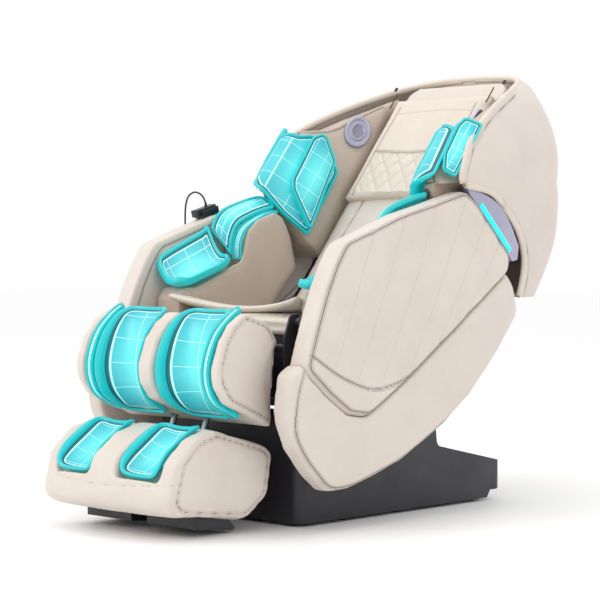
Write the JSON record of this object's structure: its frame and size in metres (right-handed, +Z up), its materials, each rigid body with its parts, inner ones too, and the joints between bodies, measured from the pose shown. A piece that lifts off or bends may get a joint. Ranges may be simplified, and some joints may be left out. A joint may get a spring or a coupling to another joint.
{
  "type": "massage chair",
  "caption": "Reclining full-body massage chair with quilted side panels, hooded back, padded arm channels, calf troughs and a sliding foot unit on a tilting base.",
  "frame": {"origin": "middle of the chair's footprint box on the floor", "axes": "+Z up, the chair faces -Y, +X is the sitter's left"},
  "size_m": [0.7976, 1.5068, 1.199],
  "materials": {
    "leather": "semi-gloss grained synthetic leather, beige",
    "leather_shade": "semi-gloss grained synthetic leather, darker beige",
    "black_plastic": "fine texture",
    "steel_black": "powder coat, black",
    "steel": "machined",
    "cast": "grey paint",
    "cell": "soft glossy cyan film",
    "silver": "satin silver paint",
    "glow": "lit cyan diffuser",
    "rubber": "matt",
    "board": "moulded control box",
    "red_plastic": "moulded",
    "cord": "smooth black jacket",
    "chassis": "moulded"
  },
  "bodies": {
    "base": {"base_frame": "steel_black", "base_cover": "black_plastic", "base_feet": "rubber", "power_box": "black_plastic", "power_inlet": "black_plastic", "wheel_axles": "steel", "tilt_pin": "steel"},
    "power_rocker": {"power_switch": "red_plastic"},
    "left_wheel": {"wheel_left": "rubber"},
    "right_wheel": {"wheel_right": "rubber"},
    "tilt_tube": {"tilt_actuator_tube": "cast"},
    "tilt_rod": {"tilt_actuator_rod": "steel"},
    "seat_body": {"seat_frame": "steel_black", "seat_pad": "leather", "seat_lip": "leather_shade", "seat_front_cover": "black_plastic", "seat_fascia": "leather", "rear_lower_cover": "black_plastic", "lower_panel_left": "leather", "lower_panel_right": "leather", "upper_panel_left": "leather", "upper_panel_right": "leather", "arm_block_left": "leather_shade", "arm_block_right": "leather_shade", "hand_cells": "cell", "arm_cells": "cell", "arm_trims": "silver", "led_strips": "glow", "remote_holder": "black_plastic", "remote_handset": "black_plastic", "remote_cord": "cord", "cord_grommet": "rubber", "air_pump": "chassis", "control_board": "board", "recline_pins": "steel", "legrest_pins": "steel"},
    "handset_button": {"remote_button": "silver"},
    "backrest": {"back_frame": "steel_black", "hood_shell": "leather", "wing_left": "leather_shade", "wing_right": "leather_shade", "head_liner": "leather", "speakers": "silver", "shoulder_cells": "cell", "back_pad": "leather", "pillow_cover": "leather"},
    "carriage": {"roller_carriage": "cast"},
    "kneader": {"knead_shaft": "steel", "knead_rollers": "rubber"},
    "leg_rest": {"calf_frame": "steel_black", "calf_cushion": "leather", "calf_cells": "cell", "foot_rods": "steel"},
    "foot_unit": {"foot_shell": "leather", "foot_cells": "cell", "foot_glides": "rubber"},
    "foot_roller": {"foot_rollers": "chassis"}
  },
  "joints": [
    {"name": "body_tilt", "type": "hinge", "parent": "base", "child": "seat_body", "pos_m": [0, 0, 0.3], "axis": [-1, 0, 0], "range_deg": [0, 15]},
    {"name": "backrest_recline", "type": "hinge", "parent": "seat_body", "child": "backrest", "pos_m": [0, 0.19, 0.48], "axis": [-1, 0, 0], "range_deg": [0, 30]},
    {"name": "legrest_lift", "type": "hinge", "parent": "seat_body", "child": "leg_rest", "pos_m": [0, -0.32, 0.52], "axis": [-1, 0, 0], "range_deg": [0, 80]},
    {"name": "footrest_extend", "type": "slide", "parent": "leg_rest", "child": "foot_unit", "axis": [0, -0.342, -0.9397], "range_m": [0, 0.1]},
    {"name": "foot_roller_spin", "type": "hinge", "parent": "foot_unit", "child": "foot_roller", "pos_m": [0, -0.596, 0.108], "axis": [1, 0, 0], "continuous": true},
    {"name": "carriage_travel", "type": "slide", "parent": "backrest", "child": "carriage", "axis": [0, 0.6252, 0.7804], "range_m": [0, 0.4]},
    {"name": "knead_spin", "type": "hinge", "parent": "carriage", "child": "kneader", "pos_m": [0, 0.31685, 0.62197], "axis": [1, 0, 0], "continuous": true},
    {"name": "tilt_tube_swing", "type": "hinge", "parent": "base", "child": "tilt_tube", "pos_m": [0, -0.15, 0.11], "axis": [-1, 0, 0], "range_deg": [0, 6.5]},
    {"name": "tilt_rod_extend", "type": "slide", "parent": "tilt_tube", "child": "tilt_rod", "axis": [0, -0.1439, 0.9896], "range_m": [0, 0.045]},
    {"name": "left_wheel_spin", "type": "hinge", "parent": "base", "child": "left_wheel", "pos_m": [0.178, 0.478, 0.026], "axis": [1, 0, 0], "continuous": true},
    {"name": "right_wheel_spin", "type": "hinge", "parent": "base", "child": "right_wheel", "pos_m": [-0.178, 0.478, 0.026], "axis": [1, 0, 0], "continuous": true},
    {"name": "power_switch_rock", "type": "hinge", "parent": "base", "child": "power_rocker", "pos_m": [0.03, 0.506, 0.084], "axis": [1, 0, 0], "range_deg": [-8, 8]},
    {"name": "handset_button_press", "type": "slide", "parent": "seat_body", "child": "handset_button", "axis": [0, 0.2756, -0.9613], "range_m": [0, 0.0012], "stiffness_N_per_m": 300, "springref_m": -0.001}
  ],
  "couplings": [
    {"joint": "tilt_tube_swing", "follows": "body_tilt", "ratio": 0.4153},
    {"joint": "tilt_rod_extend", "follows": "body_tilt", "m_per_rad": 0.1665}
  ]
}
